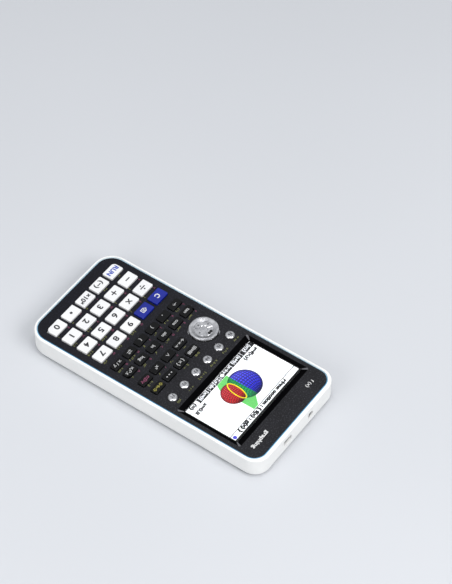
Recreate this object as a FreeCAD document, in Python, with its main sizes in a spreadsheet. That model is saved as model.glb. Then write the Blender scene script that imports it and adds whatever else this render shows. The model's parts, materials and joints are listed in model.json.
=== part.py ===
import FreeCAD, Part
import Sketcher
import math
import os

# A hand-held graphing calculator lying on its back, screen end towards +Y.
# Millimetres. The origin is the middle of the footprint, on the surface that the rubber feet stand on.
# +X is the calculator's right with the screen end up, +Z points out of the face.

os.makedirs("parts", exist_ok=True)
doc = FreeCAD.newDocument("GraphingCalculator")
sheet = doc.addObject("Spreadsheet::Sheet", "Dimensions")

DIMENSIONS = [
    # outline of the case
    ("case_length", 188.5),
    ("case_width", 89.0),
    ("case_top_radius", 11.0),
    ("case_bottom_radius", 14.0),
    ("rim_side", 1.7),
    ("rim_bottom", 1.5),
    ("rim_top", 2.4),
    ("ledge", 0.6),
    ("rim_round", 0.9),
    ("back_round", 4.0),
    # heights above the surface that the calculator lies on
    ("foot_proud", 0.5),
    ("back_wall", 1.6),
    ("face_height", 17.1),
    ("plate", 1.6),
    ("rim_proud", 0.2),
    ("board_bottom", 12.5),
    ("board_thick", 0.8),
    ("mat_thick", 0.5),
    # keys
    ("key_base", 14.7),
    ("key_gap", 0.25),
    ("flange_reach", 0.6),
    ("flange_thick", 0.7),
    ("cap_wall", 1.0),
    ("cap_roof", 1.2),
    ("pusher_radius", 1.2),
    ("pusher_lift", 0.45),
    ("white_width", 12.5),
    ("white_depth", 8.4),
    ("white_top", 18.5),
    ("white_corner", 0.8),
    ("white_outer_corner", 3.0),
    ("white_edge", 0.5),
    ("white_pitch_across", 15.1),
    ("white_pitch_down", 12.57),
    ("white_last_row", 15.3),
    ("black_width", 10.1),
    ("black_depth", 5.7),
    ("black_top", 18.2),
    ("black_corner", 1.0),
    ("black_edge", 0.4),
    ("black_cut_corner", 2.2),
    ("black_pitch", 12.46),
    ("row_shift", 99.1),
    ("row_alpha", 88.9),
    ("row_sine", 76.6),
    ("row_fraction", 66.6),
    ("round_radius", 3.5),
    ("round_top", 18.2),
    ("round_dome", 1.5),
    ("round_pitch", 12.72),
    ("row_round", 111.4),
    # navigation disc
    ("disc_across", -25.5),
    ("disc_along", 94.6),
    ("disc_radius", 10.2),
    ("disc_gap", 0.65),
    ("disc_top", 18.6),
    ("disc_flange_radius", 11.2),
    ("disc_flange_bottom", 14.45),
    ("disc_flange_top", 14.85),
    ("disc_flat", 8.6),
    ("pivot_radius", 2.6),
    ("pivot_gap", 0.5),
    # display
    ("display_along", 144.6),
    ("recess_width", 77.6),
    ("recess_depth", 49.8),
    ("recess_radius", 1.6),
    ("view_width", 72.8),
    ("view_depth", 42.0),
    ("view_radius", 0.6),
    ("window_width", 77.0),
    ("window_depth", 47.0),
    ("window_thick", 0.9),
    ("window_rebate", 0.7),
    ("window_gap", 0.2),
    ("module_thick", 2.3),
    ("active_width", 72.0),
    ("active_depth", 40.0),
    ("active_across", -0.4),
    ("active_drop", 0.9),
    # screw posts
    ("screw_radius", 0.95),
    ("screw_length", 8.0),
    ("screw_head_radius", 1.9),
    ("screw_head_thick", 1.3),
    ("front_post_radius", 2.2),
    ("back_post_radius", 3.1),
    ("post_joint", 7.9),
    ("post_bottom_across", 33.5),
    ("post_bottom_along", 6.6),
    ("post_middle_across", 39.6),
    ("post_middle_along", 117.0),
    ("post_top_across", 37.0),
    ("post_top_along", 180.0),
    # batteries and their cover
    ("cell_radius", 5.2),
    ("cell_length", 43.7),
    ("nub_radius", 1.9),
    ("nub_length", 0.8),
    ("cell_pitch", 10.9),
    ("cell_height", 7.15),
    ("cell_start", 29.0),
    ("bay_half", 22.3),
    ("bay_start", 26.0),
    ("bay_wall", 1.2),
    ("bay_cross_wall", 77.0),
    ("bay_end", 84.25),
    ("bay_back", 86.6),
    ("cover_half", 25.0),
    ("cover_start", 24.3),
    ("cover_thick", 1.3),
    ("cover_gap", 0.25),
    ("floor_raise", 0.8),
    # sockets on the top edge
    ("usb_across", 13.0),
    ("usb_width", 7.7),
    ("usb_tall", 3.9),
    ("usb_length", 9.0),
    ("usb_wall", 0.35),
    ("jack_across", -13.0),
    ("jack_body", 6.4),
    ("jack_tall", 5.0),
    ("jack_length", 10.5),
    ("jack_nose_radius", 2.5),
    ("jack_bore_radius", 1.3),
    # rubber feet
    ("foot_radius", 4.0),
    ("foot_sink", 0.6),
    ("foot_across", 32.5),
    ("foot_bottom_along", 16.5),
    ("foot_top_along", 168.0),
]

NUMBERS = dict(DIMENSIONS)
for row, (alias, number) in enumerate(DIMENSIONS, start=1):
    sheet.set(f"A{row}", alias)
    sheet.set(f"B{row}", str(number))
    sheet.setAlias(f"B{row}", alias)
doc.recompute()


class Size:
    """A length worked out from sheet cells: its number, and the expression that gives it."""

    def __init__(self, number, text):
        self.number = number
        self.text = text

    def __add__(self, other):
        other = as_size(other)
        return Size(self.number + other.number, f"({self.text} + {other.text})")

    def __sub__(self, other):
        other = as_size(other)
        return Size(self.number - other.number, f"({self.text} - {other.text})")

    def __mul__(self, factor):
        return Size(self.number * factor, f"({self.text} * {factor})")

    def __radd__(self, other):
        return as_size(other) + self

    def __rsub__(self, other):
        return as_size(other) - self

    def __neg__(self):
        return self * -1


def as_size(value):
    if isinstance(value, Size):
        return value
    return Size(value, str(value))


def cell(alias):
    """The sheet's cell with this alias."""
    return Size(NUMBERS[alias], f"Dimensions.{alias}")


def bind(thing, name, value):
    """Set a property and tie it to the sheet."""
    thing.setExpression(name, as_size(value).text)


def along(distance_from_bottom_edge):
    """Turn a distance from the case's bottom edge into a Y coordinate."""
    return as_size(distance_from_bottom_edge) - cell("case_length") * 0.5


# ---------------------------------------------------------------- sketches and features


def new_body(name):
    body = doc.addObject("PartDesign::Body", name)
    body.Label = name
    return body


def new_sketch(body, role="XY_Plane", level=0.0):
    """A sketch on one of the body's own origin planes, raised along the plane's normal."""
    sketch = body.newObject("Sketcher::SketchObject", f"{body.Name}_sketch")
    plane = [feature for feature in body.Origin.OriginFeatures if feature.Role == role][0]
    sketch.AttachmentSupport = [(plane, "")]
    sketch.MapMode = "FlatFace"
    bind(sketch, "AttachmentOffset.Base.z", level)
    return sketch


def fix_point(sketch, geometry, point, across, up):
    """Tie a point to the sketch's origin. A zero distance becomes a point on the axis."""
    origin = -1
    for kind, axis, value in (("DistanceX", -2, as_size(across)), ("DistanceY", -1, as_size(up))):
        if abs(value.number) < 1e-9:
            sketch.addConstraint(Sketcher.Constraint("PointOnObject", geometry, point, axis))
        else:
            index = sketch.addConstraint(
                Sketcher.Constraint(kind, origin, 1, geometry, point, value.number)
            )
            sketch.setExpression(f"Constraints[{index}]", value.text)


def draw_circle(sketch, across, up, radius):
    across, up, radius = as_size(across), as_size(up), as_size(radius)
    centre = FreeCAD.Vector(across.number, up.number, 0)
    circle = sketch.addGeometry(Part.Circle(centre, FreeCAD.Vector(0, 0, 1), radius.number), False)
    fix_point(sketch, circle, 3, across, up)
    index = sketch.addConstraint(Sketcher.Constraint("Radius", circle, radius.number))
    sketch.setExpression(f"Constraints[{index}]", radius.text)


def draw_polygon(sketch, points):
    """A closed outline of straight lines, every corner tied to the origin."""
    points = [(as_size(across), as_size(up)) for across, up in points]
    spots = [FreeCAD.Vector(across.number, up.number, 0) for across, up in points]
    lines = []
    for index, spot in enumerate(spots):
        following = spots[(index + 1) % len(spots)]
        lines.append(sketch.addGeometry(Part.LineSegment(spot, following), False))
    for index, line in enumerate(lines):
        following = lines[(index + 1) % len(lines)]
        sketch.addConstraint(Sketcher.Constraint("Coincident", line, 2, following, 1))
        fix_point(sketch, line, 1, *points[index])


def draw_box(sketch, left, right, bottom, top):
    draw_polygon(sketch, [(left, bottom), (right, bottom), (right, top), (left, top)])


def draw_rounded(sketch, left, right, bottom, top, bottom_radius, top_radius):
    """A rectangle with rounded corners: one radius for its two bottom corners, one for its top two."""
    left, right, bottom, top = (as_size(value) for value in (left, right, bottom, top))
    low, high = as_size(bottom_radius), as_size(top_radius)
    x0, x1, y0, y1 = left.number, right.number, bottom.number, top.number
    a, b = low.number, high.number
    corners = [
        (x1 - a, y0 + a, a, -90),
        (x1 - b, y1 - b, b, 0),
        (x0 + b, y1 - b, b, 90),
        (x0 + a, y0 + a, a, 180),
    ]
    sides = [
        (x0 + a, y0, x1 - a, y0),
        (x1, y0 + a, x1, y1 - b),
        (x1 - b, y1, x0 + b, y1),
        (x0, y1 - b, x0, y0 + a),
    ]
    lines = []
    arcs = []
    for (xa, ya, xb, yb), (xc, yc, radius, start) in zip(sides, corners):
        segment = Part.LineSegment(FreeCAD.Vector(xa, ya, 0), FreeCAD.Vector(xb, yb, 0))
        lines.append(sketch.addGeometry(segment, False))
        circle = Part.Circle(FreeCAD.Vector(xc, yc, 0), FreeCAD.Vector(0, 0, 1), radius)
        arc = Part.ArcOfCircle(circle, math.radians(start), math.radians(start + 90))
        arcs.append(sketch.addGeometry(arc, False))
    for index in range(4):
        following = lines[(index + 1) % 4]
        sketch.addConstraint(Sketcher.Constraint("Tangent", lines[index], 2, arcs[index], 1))
        sketch.addConstraint(Sketcher.Constraint("Tangent", arcs[index], 2, following, 1))
    sketch.addConstraint(Sketcher.Constraint("Horizontal", lines[0]))
    sketch.addConstraint(Sketcher.Constraint("Vertical", lines[1]))
    sketch.addConstraint(Sketcher.Constraint("Horizontal", lines[2]))
    sketch.addConstraint(Sketcher.Constraint("Vertical", lines[3]))
    origin = -1
    edges = [
        ("DistanceY", lines[0], bottom),
        ("DistanceX", lines[1], right),
        ("DistanceY", lines[2], top),
        ("DistanceX", lines[3], left),
    ]
    for kind, line, value in edges:
        index = sketch.addConstraint(Sketcher.Constraint(kind, origin, 1, line, 1, value.number))
        sketch.setExpression(f"Constraints[{index}]", value.text)
    for arc, value in zip(arcs, (low, high, high, low)):
        index = sketch.addConstraint(Sketcher.Constraint("Radius", arc, value.number))
        sketch.setExpression(f"Constraints[{index}]", value.text)


def draw_middle_rounded(sketch, width, depth, radius, across=0.0, up=0.0):
    """A rounded rectangle given by its middle, width and depth."""
    across, up = as_size(across), as_size(up)
    half_width, half_depth = as_size(width) * 0.5, as_size(depth) * 0.5
    draw_rounded(
        sketch, across - half_width, across + half_width, up - half_depth, up + half_depth, radius, radius
    )


def add_feature(body, kind, sketch, length=None, backwards=False):
    """A pad or pocket of the sketch. Backwards turns it against its usual direction."""
    feature = body.newObject(f"PartDesign::{kind}", f"{body.Name}_{kind.lower()}")
    feature.Profile = sketch
    if length is not None:
        bind(feature, "Length", length)
    feature.Reversed = backwards
    return feature


def pad(body, sketch, length, backwards=False):
    return add_feature(body, "Pad", sketch, length, backwards)


def pocket(body, sketch, length, backwards=False):
    """Cut down into the solid from the sketch's level, or up when backwards."""
    return add_feature(body, "Pocket", sketch, length, backwards)


def revolve(body, points, angle=360.0):
    """Turn a closed half-outline, given as (radius, height), round the body's Z axis.

    Less than a full turn is centred on the X axis.
    """
    sketch = new_sketch(body, "XZ_Plane")
    draw_polygon(sketch, points)
    turned = body.newObject("PartDesign::Revolution", f"{body.Name}_revolution")
    turned.Profile = sketch
    turned.ReferenceAxis = (sketch, ["V_Axis"])
    turned.Angle = angle
    turned.Midplane = angle < 360.0
    return turned


def row_pattern(body, feature, sketch, count, pitch):
    """Repeat a feature along +X."""
    pattern = body.newObject("PartDesign::LinearPattern", f"{body.Name}_pattern")
    pattern.Originals = [feature]
    pattern.Direction = (sketch, ["H_Axis"])
    pattern.Mode = "Spacing"
    bind(pattern, "Offset", pitch)
    pattern.Occurrences = count
    body.Tip = pattern
    return pattern


def ring_pattern(body, feature, sketch, count):
    """Repeat a feature round the sketch's normal."""
    pattern = body.newObject("PartDesign::PolarPattern", f"{body.Name}_ring")
    pattern.Originals = [feature]
    pattern.Axis = (sketch, ["N_Axis"])
    pattern.Angle = 360.0
    pattern.Occurrences = count
    body.Tip = pattern
    return pattern


def edge_names(shape, wanted):
    return [f"Edge{number}" for number, edge in enumerate(shape.Edges, start=1) if wanted(edge)]


def flat_at(edge, level):
    """Whether an edge lies in the horizontal plane at this height."""
    tolerance = 1e-4
    box = edge.BoundBox
    return abs(box.ZMin - level) < tolerance and abs(box.ZMax - level) < tolerance


def round_edges(body, radius, wanted, kind="Fillet"):
    """Fillet or chamfer the edges of the body's newest feature that the test picks."""
    doc.recompute()
    base = body.Tip
    names = edge_names(base.Shape, wanted)
    if not names:
        raise RuntimeError(f"no edge to round on {body.Name}")
    feature = body.newObject(f"PartDesign::{kind}", f"{body.Name}_{kind.lower()}")
    feature.Base = (base, names)
    bind(feature, "Radius" if kind == "Fillet" else "Size", radius)
    return feature


def place(body, across=0.0, up=0.0, level=0.0):
    bind(body, "Placement.Base.x", across)
    bind(body, "Placement.Base.y", up)
    bind(body, "Placement.Base.z", level)


def group(name, pieces):
    """Separate equal solids that share one node."""
    compound = doc.addObject("Part::Compound", name)
    compound.Label = name
    compound.Links = pieces
    return compound


# ---------------------------------------------------------------- shared levels and places

back = cell("foot_proud")
floor = back + cell("back_wall")
face = cell("face_height")
plate_under = face - cell("plate")
window_seat = plate_under + cell("window_rebate")
rim_top = face + cell("rim_proud")
board_top = cell("board_bottom") + cell("board_thick")
mat_top = board_top + cell("mat_thick")
half_width = cell("case_width") * 0.5
half_length = cell("case_length") * 0.5

POSTS = [
    (side, cell(f"post_{place_name}_across"), along(cell(f"post_{place_name}_along")))
    for place_name in ("bottom", "middle", "top")
    for side in (-1, 1)
]

nodes = []


def case_outline(sketch, inset_side, inset_bottom, inset_top):
    """The case's outline, drawn in by a different amount at its sides, bottom and top."""
    inset_side, inset_bottom, inset_top = (
        as_size(value) for value in (inset_side, inset_bottom, inset_top)
    )
    draw_rounded(
        sketch,
        inset_side - half_width,
        half_width - inset_side,
        inset_bottom - half_length,
        half_length - inset_top,
        cell("case_bottom_radius") - inset_side,
        cell("case_top_radius") - inset_side,
    )


# ---------------------------------------------------------------- front case

WHITE_ROWS = 4


def white_row(row):
    """Y of a row of white keys, counted from the bottom row."""
    return along(cell("white_last_row") + cell("white_pitch_down") * row)


def cut_openings(body):
    """Openings for the keys, the round keys and the disc, cut down through the face plate."""
    gap = cell("key_gap")
    through = cell("plate") + 0.5

    for row in range(WHITE_ROWS):
        sketch = new_sketch(body, level=face + 0.2)
        draw_middle_rounded(
            sketch,
            cell("white_width") + gap * 2,
            cell("white_depth") + gap * 2,
            cell("white_corner") + gap,
            -(cell("white_pitch_across") * 2),
            white_row(row),
        )
        first = pocket(body, sketch, through)
        row_pattern(body, first, sketch, 5, cell("white_pitch_across"))

    for row_name, start, count in (
        ("row_shift", -0.5, 4),
        ("row_alpha", -0.5, 4),
        ("row_sine", -2.5, 6),
        ("row_fraction", -2.5, 6),
    ):
        sketch = new_sketch(body, level=face + 0.2)
        draw_middle_rounded(
            sketch,
            cell("black_width") + gap * 2,
            cell("black_depth") + gap * 2,
            cell("black_corner") + gap,
            cell("black_pitch") * start,
            along(cell(row_name)),
        )
        first = pocket(body, sketch, through)
        row_pattern(body, first, sketch, count, cell("black_pitch"))

    sketch = new_sketch(body, level=face + 0.2)
    draw_circle(
        sketch, cell("round_pitch") * -2.5, along(cell("row_round")), cell("round_radius") + gap
    )
    first = pocket(body, sketch, through)
    row_pattern(body, first, sketch, 6, cell("round_pitch"))

    sketch = new_sketch(body, level=face + 0.2)
    draw_circle(
        sketch,
        cell("disc_across"),
        along(cell("disc_along")),
        cell("disc_radius") + cell("disc_gap"),
    )
    pocket(body, sketch, through)


def build_front_case():
    """Dark face plate with the display's sloping recess, a lip inside the rim and six screw posts."""
    body = new_body("front_case")
    fit_gap = 0.1
    sketch = new_sketch(body, level=plate_under)
    case_outline(
        sketch, cell("rim_side") + fit_gap, cell("rim_bottom") + fit_gap, cell("rim_top") + fit_gap
    )
    pad(body, sketch, cell("plate"))

    lip_deep = plate_under - board_top - 0.4
    inner = cell("ledge") + 0.2
    lip_wall = 0.9
    sketch = new_sketch(body, level=plate_under)
    case_outline(
        sketch, cell("rim_side") + inner, cell("rim_bottom") + inner, cell("rim_top") + inner
    )
    inner = inner + lip_wall
    case_outline(
        sketch, cell("rim_side") + inner, cell("rim_bottom") + inner, cell("rim_top") + inner
    )
    pad(body, sketch, lip_deep, backwards=True)

    frame_wall = 1.2
    sketch = new_sketch(body, level=plate_under)
    for grow in (cell("window_gap"), cell("window_gap") + frame_wall):
        draw_middle_rounded(
            sketch,
            cell("window_width") + grow * 2,
            cell("window_depth") + grow * 2,
            0.5 + grow,
            0.0,
            along(cell("display_along")),
        )
    pad(body, sketch, lip_deep, backwards=True)

    sketch = new_sketch(body, level=plate_under)
    for side, across, up in POSTS:
        draw_circle(sketch, across * side, up, cell("front_post_radius"))
    pad(body, sketch, plate_under - cell("post_joint") - 0.1, backwards=True)

    sketch = new_sketch(body, level=cell("post_joint") + 0.1)
    for side, across, up in POSTS:
        draw_circle(sketch, across * side, up, cell("screw_radius") + 0.05)
    pocket(body, sketch, cell("screw_length") - 2.5, backwards=True)

    cut_openings(body)

    sketch = new_sketch(body, level=plate_under)
    draw_middle_rounded(
        sketch,
        cell("window_width") + cell("window_gap") * 2,
        cell("window_depth") + cell("window_gap") * 2,
        cell("window_gap") + 0.5,
        0.0,
        along(cell("display_along")),
    )
    pocket(body, sketch, cell("window_rebate"), backwards=True)

    recess_top = new_sketch(body, level=face)
    draw_middle_rounded(
        recess_top,
        cell("recess_width"),
        cell("recess_depth"),
        cell("recess_radius"),
        0.0,
        along(cell("display_along")),
    )
    recess_bottom = new_sketch(body, level=window_seat)
    draw_middle_rounded(
        recess_bottom,
        cell("view_width"),
        cell("view_depth"),
        cell("view_radius"),
        0.0,
        along(cell("display_along")),
    )
    recess = body.newObject("PartDesign::SubtractiveLoft", "front_case_recess")
    recess.Profile = recess_top
    recess.Sections = [recess_bottom]
    recess.Ruled = True

    outer = half_width - cell("rim_side") - 1.0
    edge_bevel = 0.8

    def on_outer_edge(edge):
        box = edge.BoundBox
        reach = max(abs(box.XMin), abs(box.XMax))
        high = box.YMax > (half_length - cell("rim_top") - 1.0).number
        low = box.YMin < (cell("rim_bottom") + 1.0 - half_length).number
        return flat_at(edge, face.number) and (reach > outer.number or high or low)

    round_edges(body, edge_bevel, on_outer_edge, "Chamfer")
    nodes.append(body)


# ---------------------------------------------------------------- rear case


def build_rear_case():
    """White shell: back, side walls and rim, with the battery bay, posts and top-edge openings."""
    body = new_body("rear_case")
    sketch = new_sketch(body, level=back)
    case_outline(sketch, 0.0, 0.0, 0.0)
    pad(body, sketch, rim_top - back)
    round_edges(body, cell("back_round"), lambda edge: flat_at(edge, back.number))
    round_edges(body, cell("rim_round"), lambda edge: flat_at(edge, rim_top.number))

    sketch = new_sketch(body, level=rim_top)
    case_outline(sketch, cell("rim_side"), cell("rim_bottom"), cell("rim_top"))
    pocket(body, sketch, rim_top - plate_under)
    ledge = cell("ledge")
    sketch = new_sketch(body, level=plate_under)
    case_outline(
        sketch, cell("rim_side") + ledge, cell("rim_bottom") + ledge, cell("rim_top") + ledge
    )
    pocket(body, sketch, plate_under - floor)

    margin = 2.5
    sketch = new_sketch(body, level=floor)
    draw_box(
        sketch,
        -(cell("cover_half") + margin),
        cell("cover_half") + margin,
        along(cell("cover_start") - margin),
        along(cell("bay_back") + cell("bay_wall")),
    )
    pad(body, sketch, cell("floor_raise"))

    wall = cell("bay_wall")
    bay_top = cell("board_bottom") - 0.2
    raised_floor = floor + cell("floor_raise")
    sketch = new_sketch(body, level=raised_floor)
    draw_box(
        sketch,
        -(cell("bay_half") + wall),
        cell("bay_half") + wall,
        along(cell("bay_start") - wall),
        along(cell("bay_back") + wall),
    )
    draw_box(
        sketch,
        -cell("bay_half"),
        cell("bay_half"),
        along(cell("bay_start")),
        along(cell("bay_back")),
    )
    pad(body, sketch, bay_top - raised_floor)

    sketch = new_sketch(body, level=back)
    draw_box(
        sketch,
        -cell("bay_half"),
        cell("bay_half"),
        along(cell("bay_start")),
        along(cell("bay_end")),
    )
    pocket(body, sketch, raised_floor - back + 0.1, backwards=True)

    sketch = new_sketch(body, level=back)
    gap = cell("cover_gap")
    draw_box(
        sketch,
        -(cell("cover_half") + gap),
        cell("cover_half") + gap,
        along(cell("cover_start") - gap),
        along(cell("bay_end")),
    )
    pocket(body, sketch, cell("cover_thick") + 0.1, backwards=True)

    sketch = new_sketch(body, level=back + cell("cover_thick") + 0.3)
    draw_box(
        sketch,
        -(cell("bay_half") + wall * 0.5),
        cell("bay_half") + wall * 0.5,
        along(cell("bay_cross_wall")),
        along(cell("bay_cross_wall") + wall),
    )
    pad(body, sketch, bay_top - back - cell("cover_thick") - 0.3)

    sketch = new_sketch(body, level=floor - 0.2)
    for side, across, up in POSTS:
        draw_circle(sketch, across * side, up, cell("back_post_radius"))
    pad(body, sketch, cell("post_joint") - floor + 0.2)

    sketch = new_sketch(body, level=back)
    for side, across, up in POSTS:
        draw_circle(sketch, across * side, up, cell("screw_radius") + 0.2)
    pocket(body, sketch, cell("post_joint") - back + 0.1, backwards=True)
    sketch = new_sketch(body, level=back)
    for side, across, up in POSTS:
        draw_circle(sketch, across * side, up, cell("screw_head_radius") + 0.25)
    pocket(body, sketch, screw_seat - back, backwards=True)

    sketch = new_sketch(body, level=back)
    for across, up in feet_places():
        draw_circle(sketch, across, up, cell("foot_radius") + 0.1)
    pocket(body, sketch, cell("foot_sink"), backwards=True)

    sketch = new_sketch(body, level=back)
    restart_hole_radius = 0.9
    draw_circle(sketch, 31.0, along(96.0), restart_hole_radius)
    pocket(body, sketch, cell("back_wall") + 0.1, backwards=True)

    socket_clear = 0.35
    sketch = new_sketch(body, "XZ_Plane", level=-half_length)
    draw_middle_rounded(
        sketch,
        cell("usb_width") + socket_clear * 2,
        cell("usb_tall") + socket_clear * 2,
        0.8,
        cell("usb_across"),
        usb_middle,
    )
    draw_circle(sketch, cell("jack_across"), jack_middle, cell("jack_nose_radius") + 0.3)
    top_wall = cell("rim_top") + cell("ledge") + 0.5
    pocket(body, sketch, top_wall, backwards=True)
    nodes.append(body)


screw_seat = back + 2.9
usb_middle = cell("board_bottom") - 0.1 - cell("usb_tall") * 0.5
jack_middle = cell("board_bottom") - 0.1 - cell("jack_tall") * 0.5


def feet_places():
    return [
        (cell("foot_across") * side, along(cell(f"foot_{place_name}_along")))
        for place_name in ("bottom", "top")
        for side in (-1, 1)
    ]


# ---------------------------------------------------------------- display


def build_display():
    """The clear window glued under the recess, and the display module behind it."""
    middle = along(cell("display_along"))
    window = new_body("display_window")
    sketch = new_sketch(window, level=window_seat)
    draw_middle_rounded(sketch, cell("window_width"), cell("window_depth"), 0.5, 0.0, middle)
    pad(window, sketch, cell("window_thick"), backwards=True)
    nodes.append(window)

    module = new_body("display_module")
    module_top = window_seat - cell("window_thick") - 0.1
    sketch = new_sketch(module, level=module_top)
    draw_middle_rounded(sketch, cell("window_width"), cell("window_depth"), 1.0, 0.0, middle)
    pad(module, sketch, cell("module_thick"), backwards=True)
    sketch = new_sketch(module, level=module_top)
    draw_middle_rounded(
        sketch,
        cell("active_width"),
        cell("active_depth"),
        0.3,
        cell("active_across"),
        middle - cell("active_drop"),
    )
    pocket(module, sketch, 0.15)

    tail_half = 11.0
    tail_reach = 2.4
    tail_thick = 0.25
    edge = middle - cell("window_depth") * 0.5
    sketch = new_sketch(module, level=board_top + 0.05)
    draw_box(sketch, -tail_half, tail_half, edge - tail_reach, edge + 0.5)
    pad(module, sketch, tail_thick)
    nodes.append(module)


# ---------------------------------------------------------------- board and key mat


def build_main_board():
    """The circuit board, open round the display module, with chips on its underside."""
    body = new_body("main_board")
    inset = 1.5
    sketch = new_sketch(body, level=cell("board_bottom"))
    case_outline(
        sketch, cell("rim_side") + inset, cell("rim_bottom") + inset, cell("rim_top") + inset
    )
    pad(body, sketch, cell("board_thick"))

    clear = 0.6
    sketch = new_sketch(body, level=board_top)
    draw_middle_rounded(
        sketch,
        cell("window_width") + clear * 2,
        cell("window_depth") + clear * 2,
        1.0,
        0.0,
        along(cell("display_along")),
    )
    pocket(body, sketch, cell("board_thick"))
    sketch = new_sketch(body, level=board_top)
    for side, across, up in POSTS:
        draw_circle(sketch, across * side, up, cell("front_post_radius") + 0.25)
    pocket(body, sketch, cell("board_thick"))

    # (middle across, middle along from the bottom edge, width, depth, height)
    chips = [
        (7.0, 101.0, 14.0, 14.0, 1.4),
        (-9.0, 101.0, 12.0, 8.0, 1.1),
        (-24.0, 101.0, 6.0, 5.0, 1.6),
        (24.0, 105.0, 5.0, 4.0, 0.9),
        (24.0, 97.0, 4.0, 1.8, 0.9),
    ]
    for across, up, width, depth, tall in chips:
        sketch = new_sketch(body, level=cell("board_bottom"))
        draw_middle_rounded(sketch, width, depth, 0.2, across, along(up))
        pad(body, sketch, tall, backwards=True)
    nodes.append(body)


def build_key_mat():
    """Silicone sheet on the board, with a dome under every key, drawn as high as it is when pressed."""
    body = new_body("key_mat")
    sheet_half = 40.2
    sheet_start = 4.6
    sheet_end = 116.2
    dome_tall = 0.5
    sketch = new_sketch(body, level=board_top)
    draw_rounded(sketch, -sheet_half, sheet_half, along(sheet_start), along(sheet_end), 10.0, 2.0)
    pad(body, sketch, cell("mat_thick"))
    sketch = new_sketch(body, level=mat_top)
    for side, across, up in POSTS[:4]:
        draw_circle(sketch, across * side, up, cell("front_post_radius") + 0.3)
    pocket(body, sketch, cell("mat_thick"))

    rows = [
        (cell("white_pitch_across") * -2, white_row(row), 5, cell("white_pitch_across"), 2.4)
        for row in range(WHITE_ROWS)
    ]
    rows += [
        (cell("black_pitch") * -2.5, along(cell("row_fraction")), 6, cell("black_pitch"), 1.7),
        (cell("black_pitch") * -2.5, along(cell("row_sine")), 6, cell("black_pitch"), 1.7),
        (cell("black_pitch") * -0.5, along(cell("row_alpha")), 4, cell("black_pitch"), 1.7),
        (cell("black_pitch") * -0.5, along(cell("row_shift")), 4, cell("black_pitch"), 1.7),
        (cell("round_pitch") * -2.5, along(cell("row_round")), 6, cell("round_pitch"), 1.7),
    ]
    for start, up, count, pitch, radius in rows:
        sketch = new_sketch(body, level=mat_top)
        draw_circle(sketch, start, up, radius)
        dome = pad(body, sketch, dome_tall)
        row_pattern(body, dome, sketch, count, pitch)

    push_reach = 6.6
    sketch = new_sketch(body, level=mat_top)
    disc_along = along(cell("disc_along"))
    for across, up in ((push_reach, 0.0), (-push_reach, 0.0), (0.0, push_reach), (0.0, -push_reach)):
        draw_circle(sketch, cell("disc_across") + across, disc_along + up, 1.5)
    pad(body, sketch, dome_tall)
    nodes.append(body)


# ---------------------------------------------------------------- keys


def add_skirt(body, width, depth, corner, tall):
    """Flange that holds a key under the plate, the hollow in its underside, and its pusher."""
    reach = cell("flange_reach") * 2
    sketch = new_sketch(body)
    draw_middle_rounded(sketch, width + reach, depth + reach, corner + cell("flange_reach"))
    pad(body, sketch, cell("flange_thick"))
    wall = cell("cap_wall") * 2
    hollow = tall - cell("cap_roof")
    sketch = new_sketch(body)
    draw_middle_rounded(sketch, width - wall, depth - wall, 0.4)
    pocket(body, sketch, hollow, backwards=True)
    sketch = new_sketch(body, level=cell("pusher_lift"))
    draw_circle(sketch, 0.0, 0.0, cell("pusher_radius"))
    pad(body, sketch, hollow - cell("pusher_lift") + 0.2)


def build_cap_key(name, style, across, up, special_corner=None):
    """A rectangular key. A special corner is (side in X, side in Y, radius cell, feature kind)."""
    body = new_body(name)
    width, depth = cell(f"{style}_width"), cell(f"{style}_depth")
    corner = cell(f"{style}_corner")
    tall = cell(f"{style}_top") - cell("key_base")
    sketch = new_sketch(body)
    draw_box(sketch, width * -0.5, width * 0.5, depth * -0.5, depth * 0.5)
    pad(body, sketch, tall)

    def is_special(edge):
        side_x, side_y = special_corner[:2]
        box = edge.BoundBox
        tolerance = 1e-4
        upright = box.XLength < tolerance and box.YLength < tolerance
        return upright and box.XMin * side_x > 0 and box.YMin * side_y > 0

    def is_plain(edge):
        tolerance = 1e-4
        box = edge.BoundBox
        upright = box.XLength < tolerance and box.YLength < tolerance
        at_corner = abs(abs(box.XMin) - width.number * 0.5) < tolerance
        at_corner = at_corner and abs(abs(box.YMin) - depth.number * 0.5) < tolerance
        return upright and at_corner

    if special_corner:
        round_edges(body, cell(special_corner[2]), is_special, special_corner[3])
    round_edges(body, corner, is_plain)
    round_edges(body, cell(f"{style}_edge"), lambda edge: flat_at(edge, tall.number))
    add_skirt(body, width, depth, corner, tall)
    place(body, across, up, cell("key_base"))
    nodes.append(body)


def build_round_key(name, across, up):
    """A round key with a low dome, flanged and hollow underneath."""
    body = new_body(name)
    radius = cell("round_radius")
    tall = cell("round_top") - cell("key_base")
    inner = radius - cell("cap_wall")
    revolve(
        body,
        [
            (cell("pusher_radius"), cell("pusher_lift")),
            (cell("pusher_radius"), tall - cell("cap_roof") - 0.4),
            (inner, tall - cell("cap_roof") - 0.8),
            (inner, 0.0),
            (radius + cell("flange_reach"), 0.0),
            (radius + cell("flange_reach"), cell("flange_thick")),
            (radius, cell("flange_thick")),
            (radius, tall),
            (0.0, tall),
            (0.0, cell("pusher_lift")),
        ],
    )
    round_edges(body, cell("round_dome"), lambda edge: flat_at(edge, tall.number))
    place(body, across, up, cell("key_base"))
    nodes.append(body)


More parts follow.
